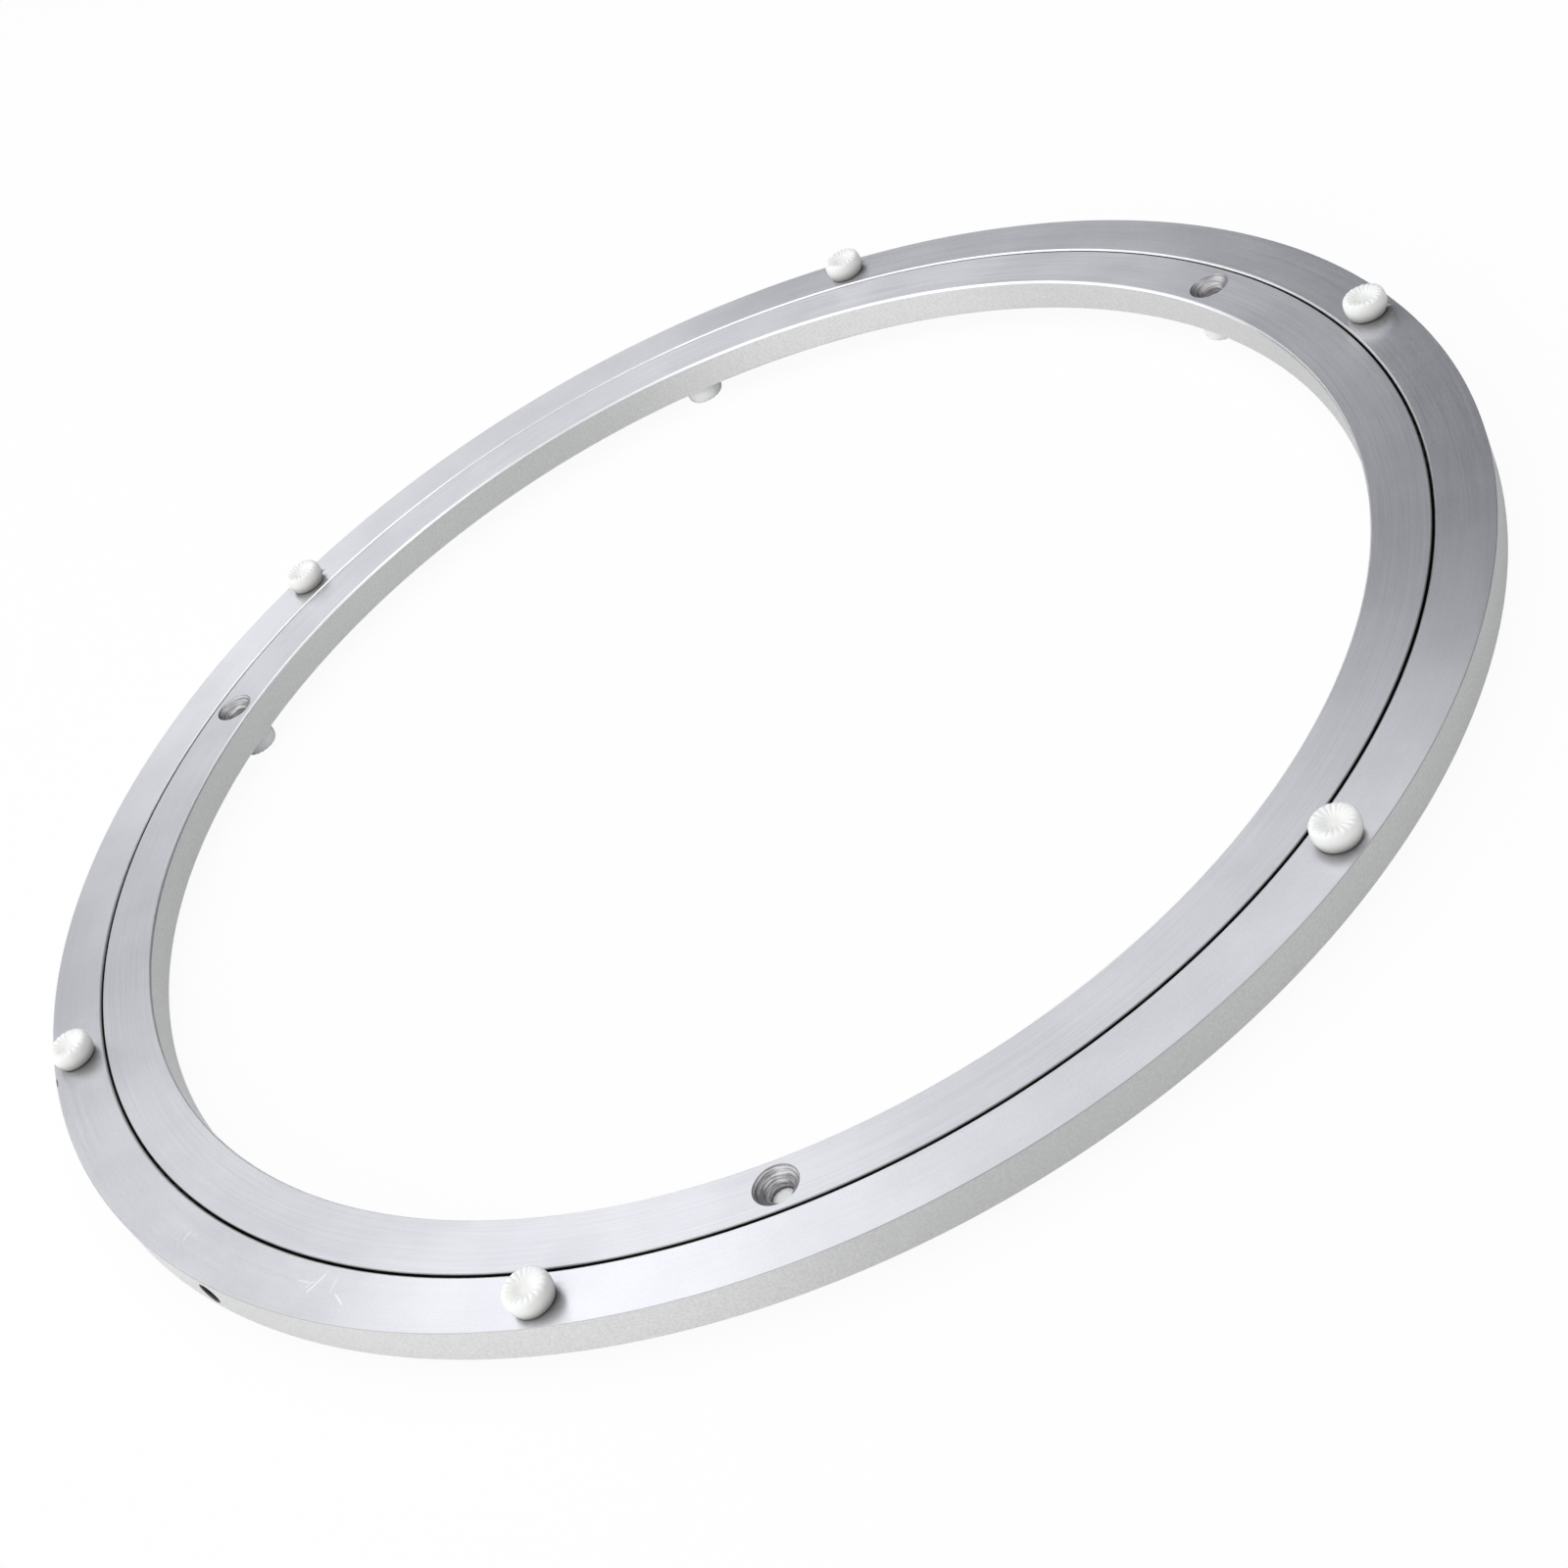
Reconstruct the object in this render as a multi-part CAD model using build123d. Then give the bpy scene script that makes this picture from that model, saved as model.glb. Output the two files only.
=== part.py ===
from build123d import *
import os
from itertools import combinations
from math import asin, floor, hypot, isclose, pi, radians, sqrt, tan

# Lazy susan bearing: a turning outer ring on a standing inner ring, with one row of loose balls between
# them. +Z is up along the axis of turning, and the feet stand on z = 0. Millimetres and degrees.

# Driving dimensions
outer_d = 350.0  # across the outer ring
ring_w = 12.75  # radial width of each ring
ring_t = 8.4  # thickness of each ring
ring_gap = 0.5  # slot between the rings
bore_break = 0.5  # chamfer on the edges of each ring's bore
outer_rim_break = 0.15  # chamfer on the edges of the outer ring's rim
inner_rim_break = 0.25  # chamfer on the edges of the inner ring's rim
ball_d = 4.0

# Bumpers, the one moulding that serves as pad and as foot
bumper_d = 10.1  # across the widest line
bumper_h = 4.9  # from the ring's face to the rim
bumper_base_d = 8.6  # where it meets the ring
shoulder_d = 9.5  # where the side turns in to the rim
rim_d = 7.8  # outer edge of the flat rim
rim_w = 0.6
dish_d = 2.8  # floor of the dish
dish_depth = 1.3
flare_share = 0.5  # height of the widest line, as a share of the bumper's height
shoulder_share = 0.8  # height of the shoulder, likewise
flute_count = 20  # an even number
flute_w = 0.8
flute_depth = 0.6
stem_d = 5.0
stem_break = 0.4  # chamfer at the stem's end

# Places round the rings
pad_count = 6
screw_count = 3
base_turn = 16.8  # from the first pad to the first screw hole
port_turn = 211.9  # from the first pad to the filling port

# Screw holes, port and plug
screw_d = 4.8
sink_d = 9.6
sink_angle = 90.0
screw_land = 1.1  # straight wall between the countersink and the foot's socket
port_room = 1.0  # port's diameter over a ball's
port_sink = 0.3  # chamfer at the port's mouth
plug_recess = 1.2  # plug's face below the outer wall
key_across = 2.5  # hexagon socket in the plug
key_depth = 2.0
plug_break = 0.4  # chamfer at the plug's ends

# Clearances
race_clear = 0.3  # from a ball to its groove
ball_play = 0.08  # from ball to ball
stem_clear = 0.1  # round a stem and past its end
plug_clear = 0.1  # round the plug
plug_set_back = 0.2  # from the race to the plug's inner end

# Worked out from the above
outer_r = outer_d / 2
outer_bore_r = outer_r - ring_w
inner_rim_r = outer_bore_r - ring_gap
inner_bore_r = inner_rim_r - ring_w
pitch_r = (outer_bore_r + inner_rim_r) / 2
pad_r = (outer_bore_r + bore_break + outer_r - outer_rim_break) / 2  # middle of the flat face
foot_r = (inner_bore_r + bore_break + inner_rim_r - inner_rim_break) / 2
race_r = ball_d / 2 + race_clear
ring_bottom = bumper_h
ring_top = ring_bottom + ring_t
mid_z = ring_bottom + ring_t / 2
sink_depth = (sink_d - screw_d) / 2 / tan(radians(sink_angle / 2))
socket_r = stem_d / 2 + stem_clear
socket_depth = ring_t - sink_depth - screw_land
stem_len = socket_depth - stem_clear
flute_pitch = 360 / flute_count
foot_count = 2 * screw_count  # every other foot stands under a screw hole
port_r = (ball_d + port_room) / 2
ball_count = floor(pi / asin((ball_d + ball_play) / (2 * pitch_r)))

ABOVE = (Align.CENTER, Align.CENTER, Align.MIN)
BELOW = (Align.CENTER, Align.CENTER, Align.MAX)


def at_port(r):
    """A place on the port's axis at radius r, with its own +Z pointing outwards."""
    return Rot(Z=port_turn) * Pos(r, 0, mid_z) * Rot(Y=90)


def turned_ring(bore_r, rim_r, rim_break):
    """A ring of the shared section, with broken edges and its half of the ball race."""
    with BuildPart() as ring:
        with BuildSketch(Plane.XZ) as section:
            with Locations(((bore_r + rim_r) / 2, mid_z)):
                Rectangle(rim_r - bore_r, ring_t)
            chamfer(section.vertices().group_by(Axis.X)[0], bore_break)
            chamfer(section.vertices().group_by(Axis.X)[-1], rim_break)
            with Locations((pitch_r, mid_z)):
                Circle(race_r, mode=Mode.SUBTRACT)
        revolve(axis=Axis.Z)
    return ring.part


def outer_ring():
    """The turning ring: pad sockets in its top face, and the filling port through its wall."""
    with BuildPart() as ring:
        add(turned_ring(outer_bore_r, outer_r, outer_rim_break))
        with Locations((0, 0, ring_top)):
            with PolarLocations(pad_r, pad_count):
                Cylinder(socket_r, socket_depth, align=BELOW, mode=Mode.SUBTRACT)
        with Locations(at_port(pitch_r)):
            Cylinder(port_r, ring_w + ring_gap, align=ABOVE, mode=Mode.SUBTRACT)
        with Locations(at_port(outer_r - port_sink)):
            Cone(port_r, port_r + 2 * port_sink, 2 * port_sink, align=ABOVE, mode=Mode.SUBTRACT)
    return ring.part


def inner_ring():
    """The standing ring: foot sockets from below, and countersunk screw holes down into every other one."""
    with BuildPart() as ring:
        add(turned_ring(inner_bore_r, inner_rim_r, inner_rim_break))
        with Locations((0, 0, ring_bottom)):
            with PolarLocations(foot_r, foot_count, start_angle=base_turn):
                Cylinder(socket_r, socket_depth, align=ABOVE, mode=Mode.SUBTRACT)
        with Locations((0, 0, ring_top)):
            with PolarLocations(foot_r, screw_count, start_angle=base_turn):
                CounterSinkHole(screw_d / 2, sink_d / 2, counter_sink_angle=sink_angle)
    return ring.part


def ball():
    """A ball as the twenty-faced solid whose corners lie on it, because the row has so many."""
    golden = (1 + sqrt(5)) / 2
    half_edge = ball_d / 2 / hypot(1, golden)
    corners = []
    for one in (-half_edge, half_edge):
        for other in (-half_edge * golden, half_edge * golden):
            corners += [Vector(0, one, other), Vector(one, other, 0), Vector(other, 0, one)]
    faces = []
    for corner in combinations(corners, 3):
        if all(isclose((a - b).length, 2 * half_edge) for a, b in combinations(corner, 2)):
            faces.append(Face(Wire.make_polygon(corner)))
    return Solid(Shell(faces))


def bearing_balls():
    """The full row of balls, each its own solid."""
    one = ball()
    places = PolarLocations(pitch_r, ball_count).locations
    return Compound(children=[Pos(Z=mid_z) * place * one for place in places])


def port_plug():
    """The set screw that closes the filling port, below the outer wall and clear of the race."""
    inner_end = pitch_r + race_r + plug_set_back
    face = outer_r - plug_recess
    with BuildPart() as plug:
        Cylinder(port_r - plug_clear, face - inner_end, align=BELOW)
        chamfer(plug.edges().filter_by(GeomType.CIRCLE), plug_break)
        with BuildSketch():
            RegularPolygon(key_across / 2, 6, major_radius=False)
        extrude(amount=-key_depth, mode=Mode.SUBTRACT)
    return at_port(face) * plug.part


def flat_sided(*half):
    """A solid with one flat for each flute, from the right half of its side view."""
    mirrored = [(-x, z) for x, z in reversed(half)]
    slab = extrude(Plane.XZ * Polygon(*half, *mirrored, align=None), bumper_d, both=True)
    body = slab
    for flat in range(1, flute_count // 2):
        body &= Rot(Z=flat * flute_pitch) * slab
    return body


def bumper():
    """The bumper on z = 0, with its stem below: bellied side, shoulder and dished, fluted rim."""
    body = flat_sided(
        (bumper_base_d / 2, 0),
        (bumper_d / 2, flare_share * bumper_h),
        (shoulder_d / 2, shoulder_share * bumper_h),
        (rim_d / 2, bumper_h),
    )
    dish = flat_sided((dish_d / 2, bumper_h - dish_depth), (rim_d / 2 - rim_w, bumper_h))
    half_w = flute_w / 2
    notch = Polygon((-half_w, bumper_h), (0, bumper_h - flute_depth), (half_w, bumper_h), align=None)
    flute = Rot(Z=flute_pitch / 2) * extrude(Plane.YZ * notch, bumper_d)
    stem = Cylinder(stem_d / 2, stem_len, align=BELOW)
    stem = chamfer(stem.edges().sort_by(Axis.Z)[0], stem_break)
    return body - dish - PolarLocations(0, flute_count) * flute + stem


def main():
    moulding = bumper()
    nodes = {
        "outer_ring": outer_ring(),
        "inner_ring": inner_ring(),
        "bearing_balls": bearing_balls(),
        "port_plug": port_plug(),
    }
    for i, place in enumerate(PolarLocations(pad_r, pad_count), 1):
        nodes[f"top_pad_{i}"] = Pos(Z=ring_top) * place * moulding
    for i, place in enumerate(PolarLocations(foot_r, foot_count, start_angle=base_turn), 1):
        nodes[f"foot_{i}"] = Pos(Z=ring_bottom) * place * Rot(X=180) * moulding

    os.makedirs("parts", exist_ok=True)
    for name, shape in nodes.items():
        shape.label = name
        export_step(shape, f"parts/{name}.step")


main()
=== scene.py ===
from math import acos, cos, pi, radians, sin, tau

import bpy
from mathutils import Matrix, Vector


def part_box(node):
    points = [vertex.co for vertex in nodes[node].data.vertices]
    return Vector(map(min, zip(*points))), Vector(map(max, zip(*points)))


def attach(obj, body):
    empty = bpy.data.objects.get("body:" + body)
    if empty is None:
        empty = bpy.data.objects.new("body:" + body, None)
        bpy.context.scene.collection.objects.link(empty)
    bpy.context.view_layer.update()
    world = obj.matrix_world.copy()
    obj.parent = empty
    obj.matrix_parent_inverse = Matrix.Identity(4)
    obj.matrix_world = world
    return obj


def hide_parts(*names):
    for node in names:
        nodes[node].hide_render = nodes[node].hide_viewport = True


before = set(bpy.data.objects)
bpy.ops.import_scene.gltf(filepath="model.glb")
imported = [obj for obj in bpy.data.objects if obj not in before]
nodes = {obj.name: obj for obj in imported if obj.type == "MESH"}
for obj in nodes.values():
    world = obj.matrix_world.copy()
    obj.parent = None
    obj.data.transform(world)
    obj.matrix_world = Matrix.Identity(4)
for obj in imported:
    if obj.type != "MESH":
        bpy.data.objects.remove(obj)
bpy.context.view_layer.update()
scene = bpy.context.scene
MM = 0.001

# Sizes read from the frame, in metres and radians
outer_low, outer_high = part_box("outer_ring")
inner_low, inner_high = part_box("inner_ring")
pad_low, pad_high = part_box("top_pad_1")
foot_low, foot_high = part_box("foot_1")
OUTER_R = outer_high.x
INNER_RIM_R = inner_high.x
RING_TOP = outer_high.z
RING_BOTTOM = outer_low.z
RING_MIDDLE = (RING_TOP + RING_BOTTOM) / 2
PAD_R = (pad_low.x + pad_high.x) / 2
foot_middle = (foot_low + foot_high) / 2
FOOT_R = foot_middle.xy.length
FOOT_TURN = foot_middle.xy.angle_signed(Vector((1, 0)))
BUMPER_R = (pad_high.x - pad_low.x) / 2
BUMPER_H = pad_high.z - RING_TOP
STEM_LEN = RING_TOP - pad_low.z

# Sizes of the turned and drilled forms
BORE_BREAK = 0.5 * MM
OUTER_RIM_BREAK = 0.15 * MM
INNER_RIM_BREAK = 0.25 * MM
OUTER_BORE_R = 2 * PAD_R - OUTER_R + OUTER_RIM_BREAK - BORE_BREAK
INNER_BORE_R = 2 * FOOT_R - INNER_RIM_R + INNER_RIM_BREAK - BORE_BREAK
PITCH_R = (OUTER_BORE_R + INNER_RIM_R) / 2
RACE_R = 2.3 * MM
BALL_R = 2.0 * MM
BALL_COUNT = 249
BUMPER_COUNT = 6
STEM_R = 2.5 * MM
SOCKET_R = 2.6 * MM
SOCKET_DEPTH = 4.9 * MM
SCREW_COUNT = 3
SCREW_R = 2.4 * MM
SINK_R = 4.8 * MM
PORT_TURN = radians(211.9)
PORT_R = 2.5 * MM
PORT_SINK = 0.3 * MM
TURN_STEPS = 720
HOLE_STEPS = 72
CUT_OVER = 0.4 * MM
SHARP_ANGLE = radians(20)

# Marks of use on the outer ring. Nick: its turn, reach to either side and height
NICK = (radians(181.7), 1.7 * MM, 0.55 * MM)
# Scuffs: start x, y and end x, y in millimetres, and strength
SCUFFS = (
    (-121.9, -110.1, -127.2, -112.2, 0.8),
    (-124.6, -110.2, -127.3, -110.7, 0.5),
    (-120.0, -112.8, -122.5, -115.7, 0.4),
    (-121.4, -116.5, -120.4, -120.7, 0.6),
    (-128.3, -107.4, -125.7, -110.2, 0.5),
    (-148.2, -77.0, -150.7, -78.7, 0.5),
    (-147.2, -78.3, -148.2, -79.1, 0.4),
)

# The studio, in metres
FLOOR_HALF = 4.0
LAMP_DISTANCE = 1.3


class Value:
    """A socket's value on its way through a tree; sums on numbers add Math nodes."""

    def __init__(self, tree, socket):
        self.tree = tree
        self.socket = socket

    def math(self, operation, first, second=None):
        inputs = {0: first} if second is None else {0: first, 1: second}
        return self.tree.node("ShaderNodeMath", {"operation": operation}, inputs)

    def __add__(self, other):
        return self.math("ADD", self, other)

    def __radd__(self, other):
        return self.math("ADD", other, self)

    def __sub__(self, other):
        return self.math("SUBTRACT", self, other)

    def __rsub__(self, other):
        return self.math("SUBTRACT", other, self)

    def __mul__(self, other):
        return self.math("MULTIPLY", self, other)

    def __rmul__(self, other):
        return self.math("MULTIPLY", other, self)

    def __truediv__(self, other):
        return self.math("DIVIDE", self, other)

    def __pow__(self, other):
        return self.math("POWER", self, other)

    def __abs__(self):
        return self.math("ABSOLUTE", self)


class Tree:
    """A node tree and the one way that nodes are added to it."""

    def __init__(self, tree):
        self.tree = tree

    def node(self, kind, settings=None, inputs=None, output=0):
        made = self.tree.nodes.new(kind)
        for name, value in (settings or {}).items():
            setattr(made, name, value)
        for name, value in (inputs or {}).items():
            if isinstance(value, Value):
                self.tree.links.new(value.socket, made.inputs[name])
            else:
                made.inputs[name].default_value = value
        return Value(self, made.outputs[output] if made.outputs else None)

    def vector(self, x=0.0, y=0.0, z=0.0):
        return self.node("ShaderNodeCombineXYZ", None, {0: x, 1: y, 2: z})

    def ray(self, kind):
        """1 for rays of one kind, such as Is Camera Ray, and 0 for the others."""
        return self.node("ShaderNodeLightPath", output=kind)


class Finish(Tree):
    """A material and the nodes that make it."""

    def __init__(self, name):
        self.material = bpy.data.materials.new(name)
        self.material.use_nodes = True
        super().__init__(self.material.node_tree)
        self.tree.nodes.clear()

    def step(self, value, low, high):
        """0 below low, 1 above high and a smooth step between; with low above high it falls instead."""
        settings = {"interpolation_type": "SMOOTHSTEP"}
        return self.node("ShaderNodeMapRange", settings, {"Value": value, "From Min": low, "From Max": high})

    def mix(self, share, first, second):
        """A colour between two, by share. A Mix node's colours are inputs 6 and 7 and output 2."""
        return self.node("ShaderNodeMix", {"data_type": "RGBA"}, {"Factor": share, 6: first, 7: second}, output=2)

    def noise(self, vector, scale, detail):
        return self.node("ShaderNodeTexNoise", None, {"Vector": vector, "Scale": scale, "Detail": detail})

    def pattern(self, vector, scale, detail, low=0.3, high=0.7):
        """Noise stretched so that it goes all the way from 0 to 1."""
        return self.step(self.noise(vector, scale, detail), low, high)

    def place(self):
        return self.node("ShaderNodeTexCoord", output="Object")

    def split(self, vector):
        outputs = self.node("ShaderNodeSeparateXYZ", None, {0: vector}).socket.node.outputs
        return [Value(self, outputs[i]) for i in range(3)]

    def bump(self, height, distance):
        return self.node("ShaderNodeBump", None, {"Height": height, "Distance": distance})

    def surface(self, inputs):
        self.output(self.node("ShaderNodeBsdfPrincipled", None, inputs))
        return self.material

    def output(self, shader):
        self.node("ShaderNodeOutputMaterial", None, {"Surface": shader})


class Shape(Tree):
    """A Geometry Nodes tree with named sizes, made into a plain mesh."""

    def __init__(self, name):
        super().__init__(bpy.data.node_groups.new(name, "GeometryNodeTree"))
        self.name = name
        self.sizes = {}
        self.tree.interface.new_socket(name="Start", in_out="INPUT", socket_type="NodeSocketGeometry")
        self.tree.interface.new_socket(name="Piece", in_out="OUTPUT", socket_type="NodeSocketGeometry")
        self.inlet = self.tree.nodes.new("NodeGroupInput")
        self.start = Value(self, self.inlet.outputs[0])

    def size(self, name, value):
        """A named input of the tree, set to value on the modifier."""
        kind = "NodeSocketInt" if isinstance(value, int) else "NodeSocketFloat"
        socket = self.tree.interface.new_socket(name=name, in_out="INPUT", socket_type=kind)
        self.sizes[socket.identifier] = value
        return Value(self, self.inlet.outputs[name])

    def moved(self, piece, place=None, turn=None):
        inputs = {"Geometry": piece}
        if place:
            inputs["Translation"] = place
        if turn:
            inputs["Rotation"] = turn
        return self.node("GeometryNodeTransform", None, inputs)

    def round_circle(self, piece, count, radius, turn, height):
        """Copies of a piece round the axis, each with its own x pointing outwards."""
        circle = self.node("GeometryNodeMeshCircle", None, {"Vertices": count, "Radius": radius})
        points = self.moved(circle, self.vector(z=height), self.vector(z=turn))
        outwards = self.node("FunctionNodeAlignRotationToVector", {"axis": "X", "pivot_axis": "Z"},
                             {"Vector": self.node("GeometryNodeInputPosition")})
        copies = self.node("GeometryNodeInstanceOnPoints", None,
                           {"Points": points, "Instance": piece, "Rotation": outwards})
        return self.node("GeometryNodeRealizeInstances", None, {"Geometry": copies})

    def finished(self, piece, material):
        whole = self.node("GeometryNodeRealizeInstances", None, {"Geometry": piece})
        return self.node("GeometryNodeSetMaterial", None, {"Geometry": whole, "Material": material})

    def smooth(self, piece):
        """Smooth shading, with edges kept where the faces meet at more than the sharp angle."""
        soft = self.node("GeometryNodeSetShadeSmooth", {"domain": "FACE"}, {"Geometry": piece})
        angle = self.node("GeometryNodeInputMeshEdgeAngle")
        sharp = angle.math("GREATER_THAN", angle, SHARP_ANGLE)
        inputs = {"Geometry": soft, "Selection": sharp, "Shade Smooth": False}
        return self.node("GeometryNodeSetShadeSmooth", {"domain": "EDGE"}, inputs)

    def make(self, piece, start=None):
        """The tree's result as an object with a plain mesh."""
        self.node("NodeGroupOutput", None, {0: piece})
        made = bpy.data.objects.new(self.name, start or bpy.data.meshes.new(self.name))
        scene.collection.objects.link(made)
        modifier = made.modifiers.new(self.name, "NODES")
        modifier.node_group = self.tree
        for identifier, value in self.sizes.items():
            modifier[identifier] = value
        graph = bpy.context.evaluated_depsgraph_get()
        mesh = bpy.data.meshes.new_from_object(made.evaluated_get(graph), depsgraph=graph)
        made.modifiers.clear()
        made.data = mesh
        mesh.name = self.name
        return made


class RingShape(Shape):
    """A ring swept round the axis from its section, then drilled."""

    def __init__(self, name):
        super().__init__(name)
        steps = self.size("Steps round", TURN_STEPS)
        radius = self.size("Path radius", PITCH_R)
        path = self.node("GeometryNodeCurvePrimitiveCircle", None, {"Resolution": steps, "Radius": radius})
        section = self.node("GeometryNodeMeshToCurve", None, {"Mesh": self.start})
        self.blank = self.node("GeometryNodeCurveToMesh", None, {"Curve": path, "Profile Curve": section})
        self.steps = self.size("Steps round a hole", HOLE_STEPS)
        self.cuts = []

    def drill(self, radius, depth):
        """A cutter that stands on z = 0."""
        made = self.node("GeometryNodeMeshCylinder", None, {"Vertices": self.steps, "Radius": radius, "Depth": depth})
        return self.moved(made, self.vector(z=depth / 2))

    def cone(self, low_r, high_r, depth):
        return self.node("GeometryNodeMeshCone", None, {
            "Vertices": self.steps, "Radius Bottom": low_r, "Radius Top": high_r, "Depth": depth})

    def cut(self, blade):
        self.cuts.append(blade)

    def done(self, section, material, cut_material):
        """The drilled ring: cut_material where a blade has cut it and material everywhere else."""
        ring = self.node("GeometryNodeSetMaterial", None, {"Geometry": self.blank, "Material": material})
        for blade in self.cuts:
            blade = self.node("GeometryNodeSetMaterial", None, {"Geometry": blade, "Material": cut_material})
            ring = self.node("GeometryNodeMeshBoolean", {"operation": "DIFFERENCE", "solver": "EXACT"},
                             {"Mesh 1": ring, "Mesh 2": blade})
        whole = self.node("GeometryNodeRealizeInstances", None, {"Geometry": self.smooth(ring)})
        cut_faces = self.node("GeometryNodeMaterialSelection", None, {"Material": cut_material})
        whole = self.node("GeometryNodeSetMaterial", None,
                          {"Geometry": whole, "Selection": 1 - cut_faces, "Material": material})
        return self.make(whole, section)


def nick_mark(finish, place, turn, reach, tall):
    """1 in a ragged nick at the outer ring's top rim, reach to either side of its turn."""
    x, y, z = finish.split(place)
    along = abs(x * -sin(turn) + y * cos(turn))
    out = x * cos(turn) + y * sin(turn)
    mark = finish.step(along, reach, 0.6 * reach) * finish.step(out, OUTER_R - tall, OUTER_R - 0.6 * tall)
    mark = mark * finish.step(z, RING_TOP - 2 * tall, RING_TOP - tall)
    return mark * finish.pattern(place, 900.0, 2.0, 0.2, 0.45)


def scratch_mark(finish, place, line):
    """1 along a fine straight line, seen from above, with soft sides and ends."""
    half_width, core, end_over, end_fade = 0.28 * MM, 0.08 * MM, 0.2 * MM, 0.8 * MM
    x, y, _ = finish.split(place)
    start_x, start_y, end_x, end_y = [value * MM for value in line]
    run_x, run_y = end_x - start_x, end_y - start_y
    run = (run_x * run_x + run_y * run_y) ** 0.5
    from_x, from_y = x - start_x, y - start_y
    along = (from_x * run_x + from_y * run_y) / run
    off = abs(from_x * run_y - from_y * run_x) / run
    mark = finish.step(off, half_width, core) * finish.step(along, -end_over, end_fade)
    return mark * finish.step(along, run + end_over, run - end_fade)


def turned_aluminium(name, face_rough, line_share, line_depth, slot_break, nick=None, scratches=()):
    """Satin aluminium off the lathe: flat faces with fine lines round the axis and a painted cool reflection tint,
    walls with a painted warm reflection tint, bright broken edges that are duller at the rims, and painted shade in
    the slot."""
    finish = Finish(name)
    place = finish.place()
    x, y, z = finish.split(place)
    radius = (x * x + y * y) ** 0.5

    # Flat faces, the broken edges between faces and walls, and those of the two rims
    upright = finish.split(finish.node("ShaderNodeNewGeometry", output="Normal"))[2]
    face = finish.step(abs(upright), 0.8, 0.95)
    edge = (1 - face) * finish.step(abs(upright), 0.2, 0.4)
    outer_rim = finish.step(radius, OUTER_R - 0.3 * MM, OUTER_R - 0.2 * MM)
    inner_rim = finish.step(abs(radius - INNER_RIM_R), 0.4 * MM, 0.35 * MM)
    rim_edge = edge * (outer_rim + inner_rim)

    # Lathe lines are long round the axis and fine across it
    line_length, line_pitch = 30 * MM, 0.45 * MM
    round_scale = PITCH_R / line_length
    across = (radius - PITCH_R + z) / line_pitch
    line_place = finish.vector(x / radius * round_scale, y / radius * round_scale, across)
    lines = finish.pattern(line_place, 1.0, 1.5, 0.28, 0.72)
    blotch = finish.pattern(place, 55.0, 3.0)
    grain = finish.pattern(place, 1900.0, 1.5)

    # The tone's mean stays at a half, whatever the share of the lines
    grain_share, blotch_share = 0.2, 0.3
    even_share = 1 - line_share - grain_share - blotch_share
    tone = line_share * lines + grain_share * grain + blotch_share * blotch + 0.5 * even_share
    # Painted reflection: the faces' cool tint and the walls' warm tint stand in for the cool lamps and the warm floor
    # that they mirror
    lined_face_cool_reflection = finish.mix(tone, (0.60, 0.605, 0.64, 1.0), (0.76, 0.765, 0.80, 1.0))
    grained_wall_warm_reflection = finish.mix(grain, (0.67, 0.67, 0.66, 1.0), (0.76, 0.76, 0.75, 1.0))
    colour = finish.mix(face, grained_wall_warm_reflection, lined_face_cool_reflection)
    colour = finish.mix(edge, colour, (0.9, 0.9, 0.905, 1.0))

    # Grain and lines only add to the roughness, so that face_rough is the least that a face has
    wall_rough, rough_spread, edge_polish = 0.46, 0.06, 0.14
    rough = wall_rough + rough_spread * grain + face * (face_rough - wall_rough + rough_spread * lines)
    rough = rough - edge_polish * (edge - 2 * rim_edge)

    # Painted shade: the slot is dark from just below the nearer face, top or bottom
    slot_shade = finish.step(abs(radius - PITCH_R), 3.0 * MM, 2.6 * MM)
    below_face = RING_TOP - RING_MIDDLE - abs(z - RING_MIDDLE)
    slot_shade = slot_shade * finish.step(below_face, 0.6 * slot_break, 0.8 * slot_break)
    colour = finish.mix(slot_shade, colour, (0.03, 0.028, 0.03, 1.0))
    colour = finish.mix(0.7 * rim_edge, colour, (0.45, 0.44, 0.44, 1.0))

    if nick:
        colour = finish.mix(0.9 * nick_mark(finish, place, *nick), colour, (0.10, 0.07, 0.055, 1.0))
    upper_face = face * finish.step(z, RING_MIDDLE, RING_TOP)
    for *line, strength in scratches:
        scratch = strength * (scratch_mark(finish, place, line) * upper_face)
        colour = finish.mix(scratch, colour, (0.97, 0.97, 0.98, 1.0))
        rough = rough + 0.15 * scratch
    return finish.surface({
        "Base Color": colour,
        "Metallic": 1.0,
        "Roughness": rough,
        "Anisotropic": 0.75,
        "Anisotropic Rotation": 0.25,
        "Normal": finish.bump((0.7 * lines + 0.3 * grain) * (1 - edge), line_depth),
    })


def drilled_aluminium():
    """Cut metal in the inner ring's holes, with the rough rings that the drill and the countersink leave."""
    finish = Finish("drilled_aluminium")
    place = finish.place()
    x, y, z = finish.split(place)

    # Place measured from the axis of the nearest screw hole
    pitch = tau / SCREW_COUNT
    turn = x.math("ARCTAN2", y, x) - FOOT_TURN
    turn = turn - pitch * turn.math("ROUND", turn / pitch)
    radius = (x * x + y * y) ** 0.5
    side = radius * turn.math("SINE", turn)
    out = radius * turn.math("COSINE", turn) - FOOT_R
    reach = (side * side + out * out) ** 0.5

    ring_pitch, ring_waver = 0.55 * MM, 0.8
    ring_place = finish.vector(ring_waver * out / reach, ring_waver * side / reach, (reach + z) / ring_pitch)
    rings = finish.pattern(ring_place, 1.0, 2.0)
    chips = finish.noise(place, 1300.0, 3.0)
    return finish.surface({
        "Base Color": finish.mix(rings, (0.27, 0.26, 0.27, 1.0), (0.66, 0.65, 0.66, 1.0)),
        "Metallic": 1.0,
        "Roughness": 0.34 + 0.2 * chips,
        "Normal": finish.bump(rings + 0.5 * chips, 0.07 * MM),
    })


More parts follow.
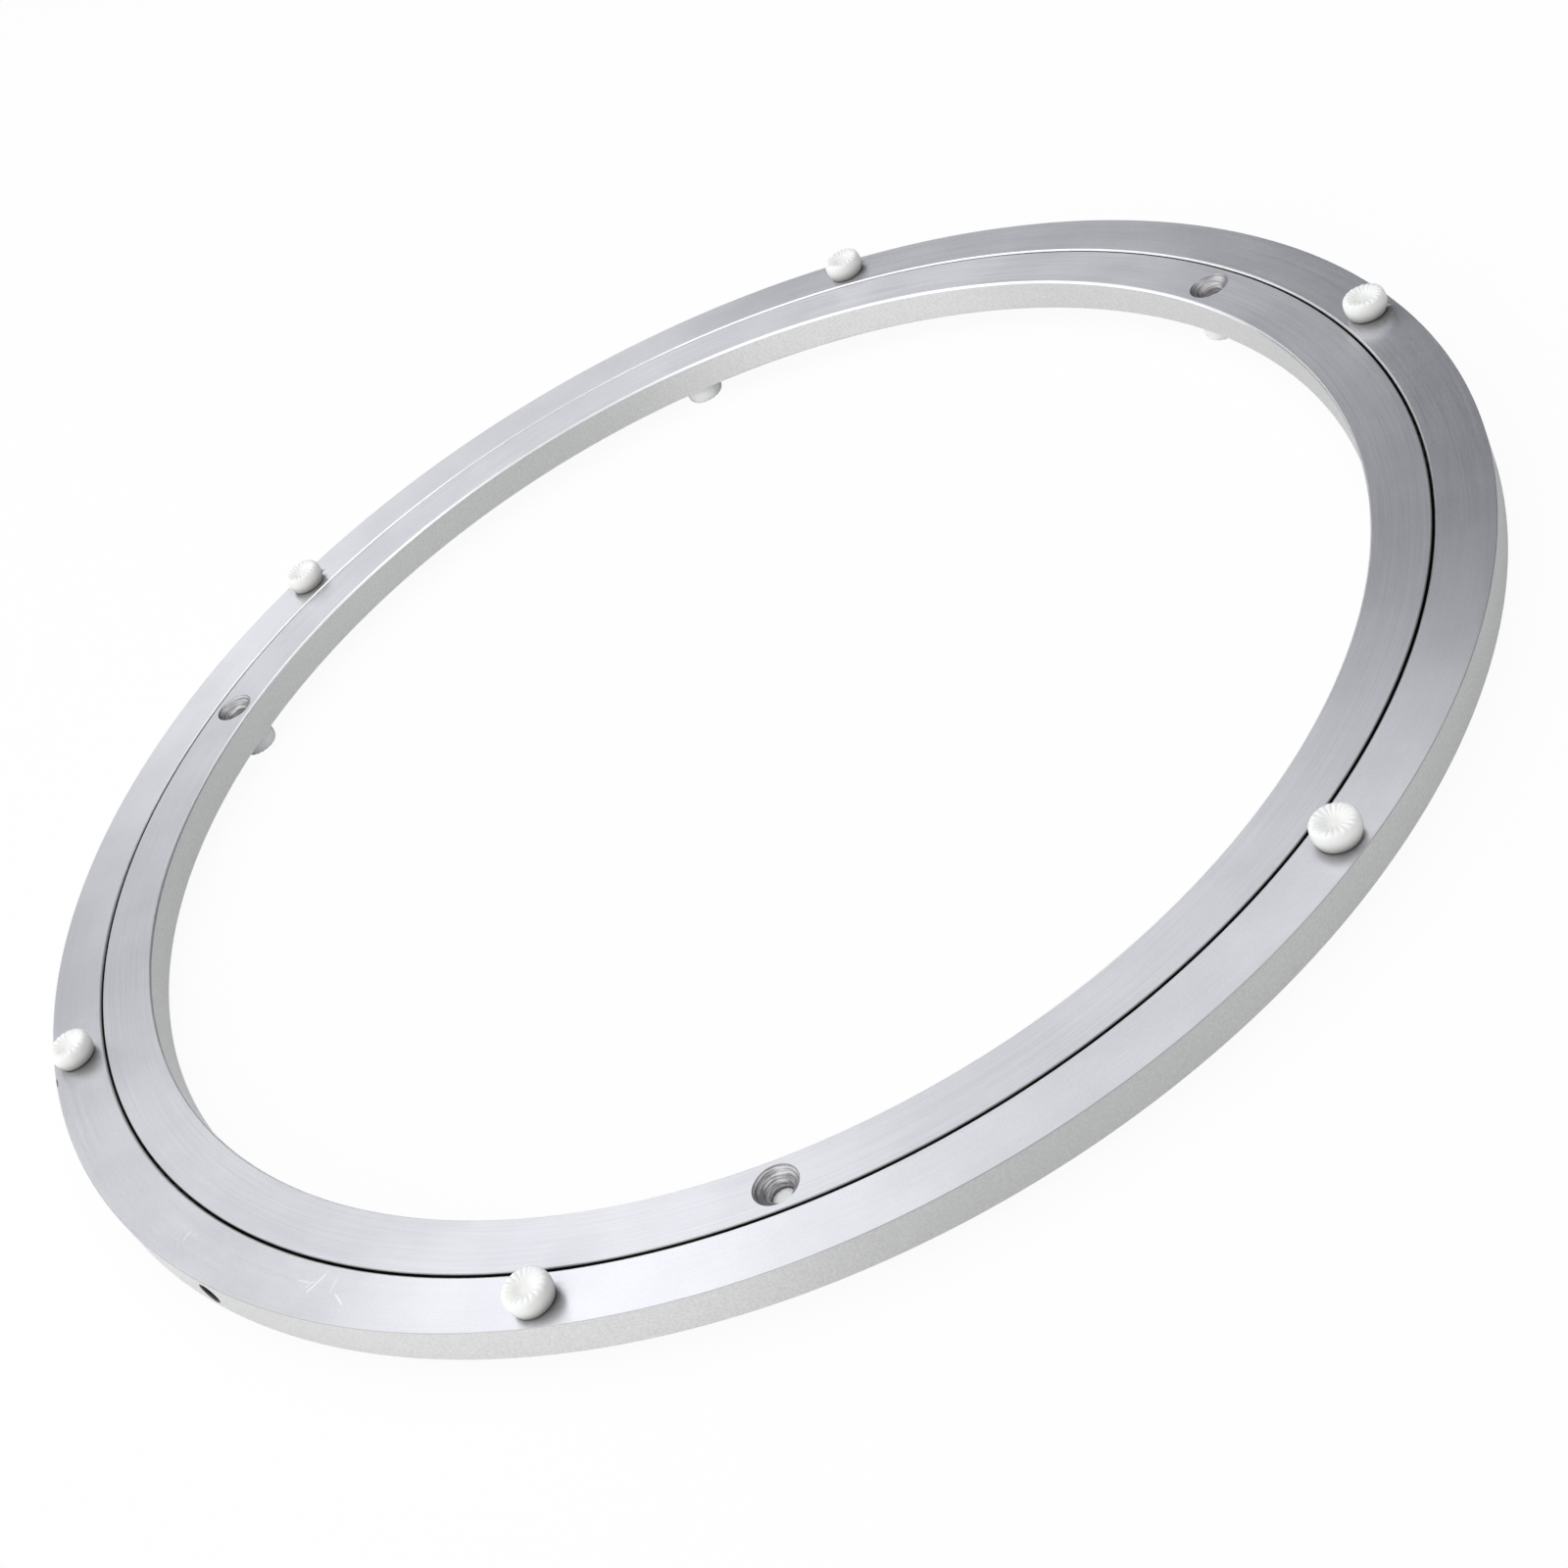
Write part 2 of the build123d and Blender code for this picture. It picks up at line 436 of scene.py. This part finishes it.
def greased_aluminium():
    """Near-black cut metal in the filling port and in the pads' sockets."""
    finish = Finish("greased_aluminium")
    dark_mottle = finish.noise(finish.place(), 700.0, 3.0)
    return finish.surface({
        "Base Color": finish.mix(dark_mottle, (0.025, 0.024, 0.026, 1.0), (0.11, 0.105, 0.10, 1.0)),
        "Metallic": 0.6,
        "Roughness": 0.4 + 0.25 * dark_mottle,
        "Normal": finish.bump(dark_mottle, 0.03 * MM),
    })


def moulded_rubber():
    """White moulded rubber, faintly cloudy, with a fine dull skin; the pads have painted shade low on their sides
    and a painted contact shadow where they meet the ring."""
    finish = Finish("moulded_white_rubber")
    place = finish.place()
    cloud = finish.noise(place, 260.0, 3.0)
    grain = finish.noise(place, 2600.0, 2.0)
    colour = finish.mix(cloud, (0.88, 0.88, 0.855, 1.0), (0.93, 0.93, 0.91, 1.0))
    from_ring = finish.split(place)[2] - RING_TOP
    outside = finish.step(from_ring, -0.6 * MM, -0.2 * MM)
    # Painted shade: the pads' sides are darker towards the ring
    low_side_shade = finish.step(from_ring, (0.6 + 0.2 * cloud) * BUMPER_H, 0.0)
    colour = finish.mix(0.9 * low_side_shade * outside, colour, (0.34, 0.32, 0.28, 1.0))
    # Painted contact shadow: a dark line where each pad meets the ring
    contact_shadow = finish.step(from_ring, 0.45 * MM, 0.1 * MM)
    colour = finish.mix(0.85 * contact_shadow * outside, colour, (0.05, 0.045, 0.04, 1.0))
    return finish.surface({
        "Base Color": colour,
        "Roughness": 0.42 + 0.14 * grain,
        "Subsurface Weight": 0.7,
        "Subsurface Radius": (2.4 * MM, 2.1 * MM, 1.8 * MM),
        "Subsurface Scale": 1.0,
        "Normal": finish.bump(grain, 0.02 * MM),
    })


def greasy_ball_steel():
    """Balls coloured near black: painted shade for the narrow gap they sit in."""
    finish = Finish("greasy_ball_steel")
    dark_mottle = finish.noise(finish.place(), 900.0, 2.0)
    return finish.surface({
        "Base Color": finish.mix(dark_mottle, (0.03, 0.028, 0.027, 1.0), (0.10, 0.095, 0.09, 1.0)),
        "Metallic": 1.0,
        "Roughness": 0.4 + 0.2 * dark_mottle,
    })


def blackened_steel():
    """The plug's black steel, worn in spots."""
    finish = Finish("blackened_plug_steel")
    wear = finish.noise(finish.place(), 1400.0, 4.0)
    return finish.surface({
        "Base Color": finish.mix(wear, (0.03, 0.03, 0.032, 1.0), (0.09, 0.085, 0.08, 1.0)),
        "Metallic": 0.7,
        "Roughness": 0.42 + 0.2 * wear,
    })


def broken_corner(before, corner, after):
    """Points of a slightly crowned chamfer that cuts a corner of a section."""
    steps, crown = 3, 0.7
    points = []
    for i in range(steps + 1):
        share = i / steps
        chord = before.lerp(after, share)
        points.append(chord + (corner - (before + after) / 2) * share * (1 - share) * crown)
    return points


def ring_section(bore_r, rim_r, rim_break):
    """The ring's section as a closed loop, with broken corners and its half of the ball race."""
    corners = [Vector((rim_r, RING_BOTTOM)), Vector((rim_r, RING_TOP)),
               Vector((bore_r, RING_TOP)), Vector((bore_r, RING_BOTTOM))]
    wall_r = rim_r if rim_r < PITCH_R else bore_r
    side = 1 if wall_r > PITCH_R else -1
    open_turn = acos(abs(PITCH_R - wall_r) / RACE_R)
    race_steps = 32
    outline = []
    for i, corner in enumerate(corners):
        following = corners[(i + 1) % len(corners)]
        size = rim_break if corner.x == rim_r else BORE_BREAK
        before = corner + (corners[i - 1] - corner).normalized() * size
        after = corner + (following - corner).normalized() * size
        outline += broken_corner(before, corner, after)
        if corner.x == wall_r and following.x == wall_r:
            for step in range(race_steps + 1):
                turn = side * open_turn * (1 - 2 * step / race_steps)
                outline.append(Vector((PITCH_R + side * RACE_R * cos(turn), RING_MIDDLE + RACE_R * sin(turn))))
    mesh = bpy.data.meshes.new("ring_section")
    points = [(point.x - PITCH_R, -point.y, 0) for point in outline]
    mesh.from_pydata(points, [(i, (i + 1) % len(points)) for i in range(len(points))], [])
    return mesh


def make_outer_ring(material, cut_material):
    """The turning ring, with the pads' sockets and the filling port."""
    shape = RingShape("outer_ring_turned")
    socket_r = shape.size("Pad socket radius", SOCKET_R)
    depth = shape.size("Pad socket depth", SOCKET_DEPTH)
    over = shape.size("Cut over", CUT_OVER)
    count = shape.size("Pad count", BUMPER_COUNT)
    circle = shape.size("Pad circle radius", PAD_R)
    top = shape.size("Ring top", RING_TOP)
    shape.cut(shape.round_circle(shape.drill(socket_r, depth + over), count, circle, 0.0, top - depth))
    port_r = shape.size("Port radius", PORT_R)
    port_sink = shape.size("Port chamfer", PORT_SINK)
    turn = shape.size("Port turn", PORT_TURN)
    middle = shape.size("Ring middle", RING_MIDDLE)
    rim = shape.size("Rim radius", OUTER_R)
    pitch = shape.size("Pitch radius", PITCH_R)
    lay = shape.vector(y=pi / 2)
    bore = shape.moved(shape.drill(port_r, rim + over - pitch), shape.vector(x=pitch, z=middle), lay)
    mouth = shape.cone(port_r, port_r + port_sink + over, port_sink + over)
    mouth = shape.moved(mouth, shape.vector(x=rim - port_sink, z=middle), lay)
    for blade in (bore, mouth):
        shape.cut(shape.moved(blade, turn=shape.vector(z=turn)))
    ring = shape.done(ring_section(OUTER_BORE_R, OUTER_R, OUTER_RIM_BREAK), material, cut_material)
    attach(ring, "turntable")
    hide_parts("outer_ring")


def make_inner_ring(material, cut_material):
    """The standing ring, with the feet's sockets and the countersunk screw holes above three of them."""
    shape = RingShape("inner_ring_turned")
    socket_r = shape.size("Foot socket radius", SOCKET_R)
    depth = shape.size("Foot socket depth", SOCKET_DEPTH)
    over = shape.size("Cut over", CUT_OVER)
    count = shape.size("Foot count", BUMPER_COUNT)
    circle = shape.size("Foot circle radius", FOOT_R)
    turn = shape.size("First foot turn", FOOT_TURN)
    bottom = shape.size("Ring bottom", RING_BOTTOM)
    top = shape.size("Ring top", RING_TOP)
    screw_count = shape.size("Screw count", SCREW_COUNT)
    screw_r = shape.size("Screw hole radius", SCREW_R)
    sink_r = shape.size("Countersink radius", SINK_R)
    sockets = shape.drill(socket_r, depth + over)
    shape.cut(shape.round_circle(sockets, count, circle, turn, bottom - over))
    sink_depth = sink_r - screw_r
    through = shape.drill(screw_r, top - sink_depth - bottom - depth + 2 * over)
    shape.cut(shape.round_circle(through, screw_count, circle, turn, bottom + depth - over))
    sink = shape.cone(screw_r, sink_r + over, sink_depth + over)
    shape.cut(shape.round_circle(sink, screw_count, circle, turn, top - sink_depth))
    ring = shape.done(ring_section(INNER_BORE_R, INNER_RIM_R, INNER_RIM_BREAK), material, cut_material)
    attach(ring, "base")
    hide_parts("inner_ring")


def smooth_share(value, low, high):
    """0 below low, 1 above high and a smooth step between, on plain numbers."""
    share = min(max((value - low) / (high - low), 0), 1)
    return share * share * (3 - 2 * share)


def bumper_profile():
    """Radius, height and pleat share from the stem's end, up the side, over the crest and into the dish."""
    side_r, widest_z = BUMPER_R - 0.1 * MM, 0.5 * BUMPER_H
    base_r = side_r - 0.7 * MM
    crest_r, crest_pleat = 3.6 * MM, 0.7
    dish_z, floor_share = BUMPER_H - 1.1 * MM, 0.2
    side_steps, shoulder_steps, dish_steps = 8, 10, 12
    fullness = 0.75
    # Radius and height of the stem, from its rounded end
    stem = ((0.0, 0.0), (1.2 * MM, 0.06 * MM), (2.0 * MM, 0.2 * MM), (2.35 * MM, 0.4 * MM),
            (STEM_R, 0.75 * MM), (STEM_R, STEM_LEN))
    points = [(radius, height - STEM_LEN, 0.0) for radius, height in stem]
    for i in range(side_steps + 1):
        share = i / side_steps
        points.append((base_r + (side_r - base_r) * sin(pi / 2 * share), widest_z * share, 0.0))
    for i in range(1, shoulder_steps + 1):
        share = i / shoulder_steps
        radius = crest_r + (side_r - crest_r) * max(cos(pi / 2 * share), 0) ** fullness
        height = widest_z + (BUMPER_H - widest_z) * sin(pi / 2 * share) ** fullness
        points.append((radius, height, crest_pleat * smooth_share(share, 0.45, 0.9)))
    for i in range(1, dish_steps + 1):
        share = 1 - i / dish_steps
        slope = max((share - floor_share) / (1 - floor_share), 0)
        height = dish_z + (BUMPER_H - dish_z) * (1 - cos(pi * slope)) / 2
        pleat = smooth_share(share, 0.5, 0.9) * (1 - (1 - crest_pleat) * smooth_share(share, 0.85, 1.0))
        points.append((crest_r * share, height, pleat))
    return points


def bumper_mesh(upside_down):
    """One moulding with the pleats of its dish, standing on z = 0 or hanging from it."""
    pleat_count, steps_per_pleat, pleat_depth = 20, 8, 0.36 * MM
    on_axis = 1e-9
    steps = pleat_count * steps_per_pleat
    up = -1 if upside_down else 1
    profile = bumper_profile()
    vertices, faces = [], []
    for i, (radius, height, share) in enumerate(profile):
        if radius < on_axis:
            vertices.append((0, 0, up * height))
            continue
        before, after = profile[i - 1], profile[min(i + 1, len(profile) - 1)]
        along = Vector((after[0] - before[0], after[1] - before[1])).normalized()
        for step in range(steps):
            turn = tau * step / steps
            cut = pleat_depth * share * ((1 + cos(pleat_count * turn)) / 2) ** 2
            r, z = radius - along.y * cut, height + along.x * cut
            vertices.append((r * cos(turn), up * r * sin(turn), up * z))
    for step in range(steps):
        faces.append((0, 1 + (step + 1) % steps, 1 + step))
    rows = len(profile) - 2
    for row in range(rows - 1):
        low, high = 1 + row * steps, 1 + (row + 1) * steps
        for step in range(steps):
            onward = (step + 1) % steps
            faces.append((low + step, low + onward, high + onward, high + step))
    last, top = 1 + (rows - 1) * steps, len(vertices) - 1
    for step in range(steps):
        faces.append((last + step, last + (step + 1) % steps, top))
    mesh = bpy.data.meshes.new("bumper")
    mesh.from_pydata(vertices, [], faces)
    return mesh


def make_bumpers(name, material, body, stands_for, radius, first_turn, height, upside_down):
    """One ring's six bumpers, evenly round a circle from first_turn."""
    shape = Shape(name)
    count = shape.size("Bumper count", BUMPER_COUNT)
    copies = shape.round_circle(shape.start, count, shape.size("Circle radius", radius),
                                shape.size("First turn", first_turn), shape.size("Seat height", height))
    piece = shape.make(shape.finished(shape.smooth(copies), material), bumper_mesh(upside_down))
    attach(piece, body)
    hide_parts(*stands_for)


def make_nibs(material):
    """The small pointed leftover of the moulding gate on the side of each pad."""
    # Degrees round each pad's own axis
    nib_turns = (-40, -12, 8, 80, 85, 95)
    nib_length, root_r, tip_r, droop = 0.65 * MM, 0.55 * MM, 0.06 * MM, 0.12 * MM
    sides, rows, sunk, taper = 10, 4, 0.6 * MM, 1.6
    height = RING_TOP + 0.22 * BUMPER_H
    vertices, faces = [], []
    for i, degrees in enumerate(nib_turns):
        seat = Matrix.Rotation(tau * i / BUMPER_COUNT, 3, "Z") @ Vector((PAD_R, 0, 0))
        turned = Matrix.Rotation(radians(degrees), 3, "Z")
        first = len(vertices)
        for row in range(rows + 1):
            share = row / rows
            out = BUMPER_R - sunk + (nib_length + sunk) * share
            nib_r = tip_r + (root_r - tip_r) * (1 - share) ** taper
            for side in range(sides):
                turn = tau * side / sides
                point = turned @ Vector((out, nib_r * cos(turn), nib_r * sin(turn) - droop * share))
                vertices.append(seat + point + Vector((0, 0, height)))
        for row in range(rows):
            for side in range(sides):
                low, onward = first + row * sides, (side + 1) % sides
                faces.append((low + side, low + onward, low + sides + onward, low + sides + side))
        faces.append([first + side for side in reversed(range(sides))])
        faces.append([first + rows * sides + side for side in range(sides)])
    mesh = bpy.data.meshes.new("pad_nibs")
    mesh.from_pydata(vertices, [], faces)
    mesh.shade_smooth()
    mesh.materials.append(material)
    nibs = bpy.data.objects.new("pad_nibs", mesh)
    scene.collection.objects.link(nibs)
    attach(nibs, "turntable")


def make_balls(material):
    """The full row of balls in the race."""
    shape = Shape("ball_row_greased")
    ball = shape.node("GeometryNodeMeshUVSphere", None, {
        "Segments": 8, "Rings": 5, "Radius": shape.size("Ball radius", BALL_R)})
    copies = shape.round_circle(ball, shape.size("Ball count", BALL_COUNT), shape.size("Pitch radius", PITCH_R), 0.0,
                                shape.size("Row height", RING_MIDDLE))
    soft = shape.node("GeometryNodeSetShadeSmooth", None, {"Geometry": copies})
    piece = shape.make(shape.finished(soft, material))
    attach(piece, "ball_row")
    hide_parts("bearing_balls")


def coat(node, material):
    """Give a carried-over CAD node its finish."""
    nodes[node].data.materials.clear()
    nodes[node].data.materials.append(material)


def make_camera():
    """The camera that took the photo, as fitted to the rings' circles."""
    turn = Matrix.Rotation(radians(0.5), 3, "Z")
    elevation = radians(35.65)
    roll = radians(30.27)
    distance = 598.85 * MM
    aside, above = -0.84 * MM, 26.48 * MM
    forward = turn @ Vector((0, cos(elevation), -sin(elevation)))
    right = turn @ Vector((1, 0, 0))
    up = right.cross(forward)
    data = bpy.data.cameras.new("camera")
    data.sensor_width = 36
    data.lens = 60.67
    data.clip_start = 0.01
    camera = bpy.data.objects.new("camera", data)
    image_right = cos(roll) * right - sin(roll) * up
    image_up = sin(roll) * right + cos(roll) * up
    place = Vector((0, 0, RING_TOP)) - aside * right - above * up - distance * forward
    turned = Matrix((image_right, image_up, -forward)).transposed()
    camera.matrix_world = Matrix.Translation(place) @ turned.to_4x4()
    scene.collection.objects.link(camera)
    scene.camera = camera


def make_floor():
    """A plain white floor that keeps a soft shadow: it glows to the camera and a little in reflections."""
    seen_glow, mirrored_glow = 0.94, 0.12
    finish = Finish("floor_white")
    diffuse = finish.node("ShaderNodeBsdfDiffuse", None, {"Color": (0.9, 0.9, 0.9, 1.0)})
    glow = finish.node("ShaderNodeEmission", None, {"Color": (1, 1, 1, 1), "Strength": 1.0})
    mirrored = finish.ray("Is Glossy Ray") + finish.ray("Is Transmission Ray")
    share = seen_glow * finish.ray("Is Camera Ray") + mirrored_glow * mirrored
    finish.output(finish.node("ShaderNodeMixShader", None, {0: share, 1: diffuse, 2: glow}))
    mesh = bpy.data.meshes.new("floor")
    low, high = -FLOOR_HALF, FLOOR_HALF
    mesh.from_pydata([(low, low, 0), (high, low, 0), (high, high, 0), (low, high, 0)], [], [(0, 1, 2, 3)])
    floor = bpy.data.objects.new("floor", mesh)
    mesh.materials.append(finish.material)
    scene.collection.objects.link(floor)


def make_world():
    """White to the camera, and a dim cool fill to everything else."""
    world = bpy.data.worlds.new("studio")
    scene.world = world
    world.use_nodes = True
    world.node_tree.nodes.clear()
    sky = Tree(world.node_tree)
    dim = sky.node("ShaderNodeBackground", None, {"Color": (0.86, 0.97, 1.17, 1.0), "Strength": 0.07})
    white = sky.node("ShaderNodeBackground", None, {"Color": (1.0, 1.0, 1.0, 1.0), "Strength": 1.0})
    shown = sky.node("ShaderNodeMixShader", None, {0: sky.ray("Is Camera Ray"), 1: dim, 2: white})
    sky.node("ShaderNodeOutputWorld", None, {"Surface": shown})


def softbox(name, turn, elevation, width, height, power):
    """A lamp that looks at the middle of the rings from a compass turn and an elevation, in degrees."""
    data = bpy.data.lights.new(name, "AREA")
    data.shape = "RECTANGLE"
    data.size = width
    data.size_y = height
    data.energy = power
    lamp = bpy.data.objects.new(name, data)
    turn, elevation = radians(turn), radians(elevation)
    away = Vector((cos(turn) * cos(elevation), sin(turn) * cos(elevation), sin(elevation)))
    lamp.location = LAMP_DISTANCE * away
    lamp.rotation_euler = (-away).to_track_quat("-Z", "Y").to_euler()
    scene.collection.objects.link(lamp)


# The outer ring's least roughness stays above 0.28: below that, the render's denoiser leaves dots on it
outer_metal = turned_aluminium("outer_ring_aluminium", face_rough=0.285, line_share=0.15, line_depth=0.004 * MM,
                               slot_break=BORE_BREAK, nick=NICK, scratches=SCUFFS)
make_outer_ring(outer_metal, greased_aluminium())
inner_metal = turned_aluminium("inner_ring_aluminium", face_rough=0.41, line_share=0.4, line_depth=0.012 * MM,
                               slot_break=0.7 * INNER_RIM_BREAK)
make_inner_ring(inner_metal, drilled_aluminium())
rubber = moulded_rubber()
pads = [f"top_pad_{i + 1}" for i in range(BUMPER_COUNT)]
feet = [f"foot_{i + 1}" for i in range(BUMPER_COUNT)]
make_bumpers("top_pads_moulded", rubber, "turntable", pads,
             radius=PAD_R, first_turn=0.0, height=RING_TOP, upside_down=False)
make_nibs(rubber)
make_bumpers("feet_moulded", rubber, "base", feet,
             radius=FOOT_R, first_turn=FOOT_TURN, height=RING_BOTTOM, upside_down=True)
make_balls(greasy_ball_steel())
coat("port_plug", blackened_steel())

scene.view_settings.view_transform = "Standard"
make_camera()
make_floor()
make_world()
# Turn and elevation in degrees, width and height in metres, power in watts
softbox("front_strip", 270, 58, 2.0, 0.5, 5.8)
softbox("back_middle", 90, 44, 0.9, 0.9, 1.75)
softbox("back_left", 120, 42, 0.9, 0.9, 1.1)
softbox("back_low", 97, 25, 0.5, 0.5, 0.55)
softbox("left_back", 150, 18, 0.9, 0.9, 3.2)
softbox("left_side", 180, 18, 0.9, 0.9, 1.2)
softbox("left_front", 215, 20, 1.5, 0.9, 7.6)
softbox("left_high", 150, 66, 0.9, 0.9, 4.0)
softbox("right_high", 30, 66, 0.9, 0.9, 3.3)
softbox("right_front", 330, 42, 0.9, 0.9, 1.5)
